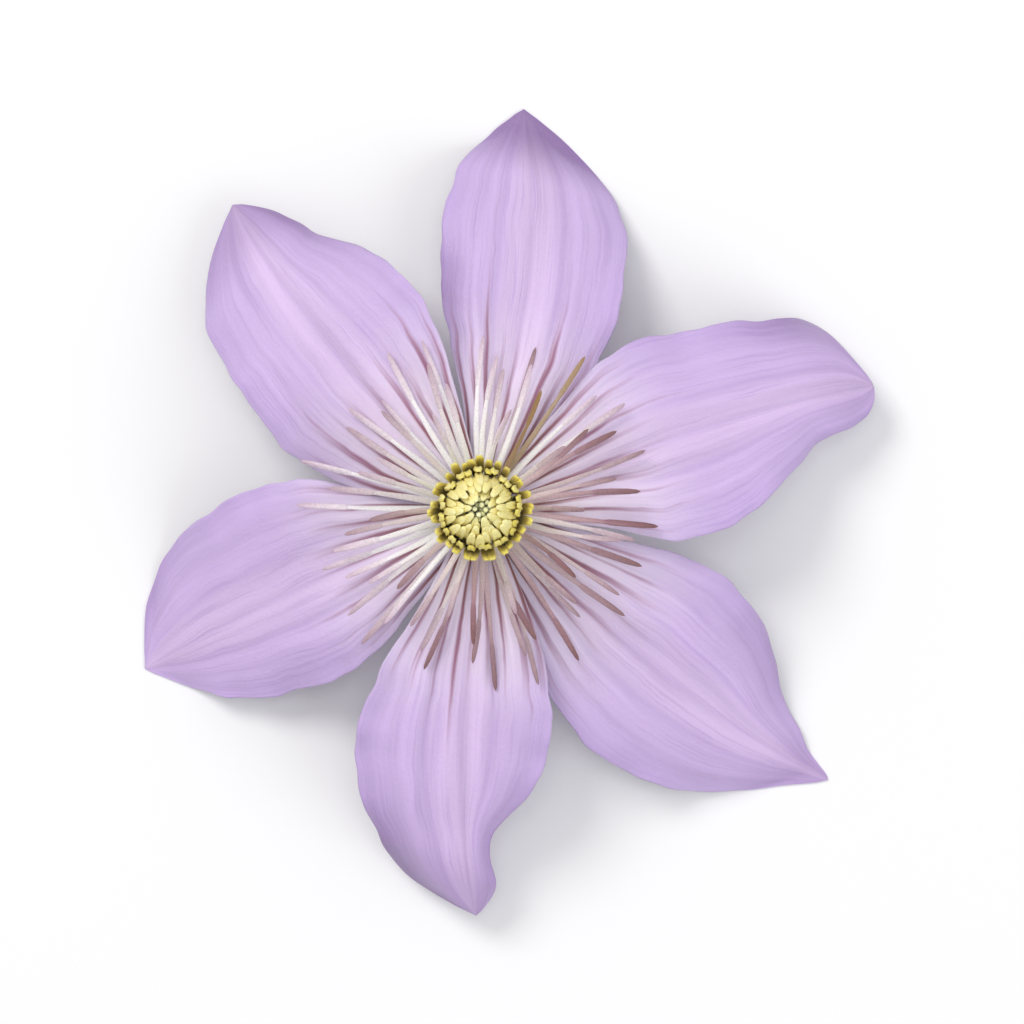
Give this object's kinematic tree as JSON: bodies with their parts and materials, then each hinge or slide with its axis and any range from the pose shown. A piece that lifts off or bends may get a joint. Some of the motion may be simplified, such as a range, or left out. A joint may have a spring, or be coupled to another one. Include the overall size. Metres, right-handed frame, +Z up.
{
  "type": "clematis flower",
  "caption": "Large lilac clematis bloom with broad waved sepals, spreading pale stamens and a yellow stamen brush, picked with a short stalk and lying face up.",
  "frame": {"origin": "on the surface that the flower lies on, under the middle of the flower's outline", "axes": "+Z up, along the flower's own axis, out of its face; +Y towards the tip of sepal_1, +X towards the tip of sepal_6, so the stalk lies along -Y"},
  "size_m": [0.087, 0.0954, 0.0314],
  "materials": {
    "stalk": "downy green stalk tinged with purple-brown",
    "sepal": "soft satin lilac sepal with fine lengthwise veins",
    "spreading_stamen": "pale mauve to white filaments with brownish mauve anthers",
    "brush_stamen": "matt yellow anthers dusted with pollen, on cream filaments",
    "pistil": "downy pale green styles"
  },
  "bodies": {
    "root": {"stalk": "stalk", "sepal_1": "sepal", "sepal_2": "sepal", "sepal_3": "sepal", "sepal_4": "sepal", "sepal_5": "sepal", "sepal_6": "sepal", "spreading_stamens": "spreading_stamen", "brush_stamens": "brush_stamen", "pistils": "pistil"}
  },
  "joints": []
}
